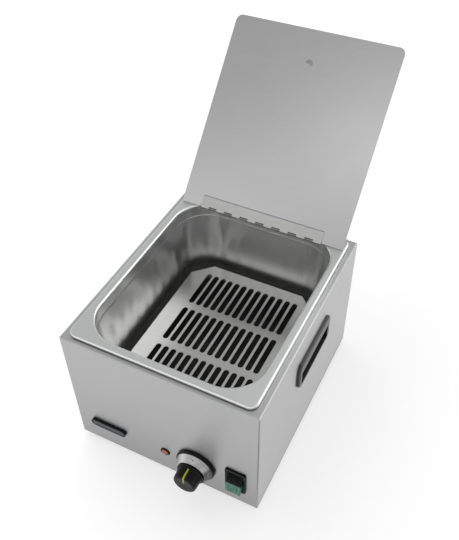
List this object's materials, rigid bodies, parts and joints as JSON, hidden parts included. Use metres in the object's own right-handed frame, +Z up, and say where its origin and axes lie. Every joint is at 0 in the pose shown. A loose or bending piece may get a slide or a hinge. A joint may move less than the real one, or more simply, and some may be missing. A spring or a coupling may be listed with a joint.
{
  "type": "hot dog steamer",
  "caption": "Counter steamer: a heated water pan with a slotted plate in a sheet metal casing, under a flat lid on a long rear hinge, with dial, switch and lamp on the front.",
  "frame": {"origin": "centre of the casing's footprint, on the surface that the four feet stand on", "axes": "+Z up; the front with the controls faces -Y; +X is to the right of a person who stands in front and looks at the controls; the lid is hinged at the back and leans back open over +Y at rest"},
  "size_m": [0.2946, 0.5383, 0.4459],
  "materials": {
    "casing_steel": "satin stainless steel sheet",
    "pan_steel": "deep drawn stainless steel, bright",
    "plate_steel": "satin stainless steel",
    "lid_steel": "satin stainless steel sheet",
    "hinge_steel": "bright rolled stainless steel",
    "fastener_steel": "bright stainless steel",
    "zinc_sheet": "zinc plated steel",
    "element_metal": "heat darkened steel tube",
    "dial_aluminium": "spun aluminium",
    "badge_metal": "satin anodised",
    "copper_brass": "plain",
    "black_plastic": "fine moulded texture",
    "switch_plastic": "semi gloss",
    "badge_black": "semi gloss",
    "green_lens": "tinted clear plastic",
    "orange_lens": "tinted clear plastic",
    "lime_paint": "moulded in colour",
    "white_plastic": "moulded",
    "cutout_plastic": "moulded resin",
    "foot_rubber": "matt",
    "seal_rubber": "silicone",
    "brown_wire": "wire insulation",
    "blue_wire": "wire insulation",
    "green_wire": "wire insulation"
  },
  "bodies": {
    "housing": {"casing_wrap": "casing_steel", "back_panel": "casing_steel", "back_screws": "fastener_steel", "base_plate": "zinc_sheet", "base_screws": "fastener_steel", "rubber_feet": "foot_rubber", "foot_screws": "fastener_steel", "foot_nuts": "fastener_steel", "water_pan": "pan_steel", "rim_seal": "seal_rubber", "rear_strip": "lid_steel", "strip_rivets": "fastener_steel", "lid_stops": "lid_steel", "hinge_fixed_leaf": "hinge_steel", "hinge_pin": "fastener_steel", "handle_left": "black_plastic", "handle_right": "black_plastic", "dial_base": "black_plastic", "dial_ring": "dial_aluminium", "thermostat_body": "white_plastic", "thermostat_screws": "fastener_steel", "thermostat_bulb": "copper_brass", "bulb_clips": "zinc_sheet", "lamp_bezel": "black_plastic", "lamp_lens": "orange_lens", "lamp_body": "white_plastic", "lamp_nut": "zinc_sheet", "switch_frame": "switch_plastic", "switch_body": "switch_plastic", "switch_tabs": "copper_brass", "badge_base": "badge_black", "badge_plate": "badge_metal", "heating_element": "element_metal", "element_pins": "fastener_steel", "element_plate": "zinc_sheet", "pan_studs": "fastener_steel", "stud_nuts": "fastener_steel", "shield_spacers": "zinc_sheet", "heat_shield": "zinc_sheet", "safety_cutout": "cutout_plastic", "terminal_block": "white_plastic", "earth_bolt": "copper_brass", "cable_gland": "black_plastic", "gland_nut": "black_plastic", "live_wires": "brown_wire", "neutral_wires": "blue_wire", "earth_wire": "green_wire"},
    "lid": {"lid_panel": "lid_steel", "lid_screw": "fastener_steel", "lid_knob": "black_plastic", "hinge_lid_leaf": "hinge_steel"},
    "plate": {"insert_plate": "plate_steel", "insert_legs": "plate_steel"},
    "dial": {"control_knob": "black_plastic", "knob_pointer": "lime_paint", "thermostat_shaft": "fastener_steel"},
    "rocker": {"switch_rocker": "switch_plastic", "rocker_lens": "green_lens"}
  },
  "joints": [
    {"name": "lid_hinge", "type": "hinge", "parent": "housing", "child": "lid", "pos_m": [0, 0.136, 0.2282], "axis": [1, 0, 0], "range_deg": [0, 132]},
    {"name": "plate_lift", "type": "slide", "parent": "housing", "child": "plate", "axis": [0, 0, 1], "range_m": [0, 0.11]},
    {"name": "dial_turn", "type": "hinge", "parent": "housing", "child": "dial", "pos_m": [0.051, -0.169, 0.058], "axis": [0, 1, 0], "range_deg": [0, 290]},
    {"name": "rocker_tip", "type": "hinge", "parent": "housing", "child": "rocker", "pos_m": [0.1105, -0.163, 0.061], "axis": [1, 0, 0], "range_deg": [0, 18]}
  ]
}
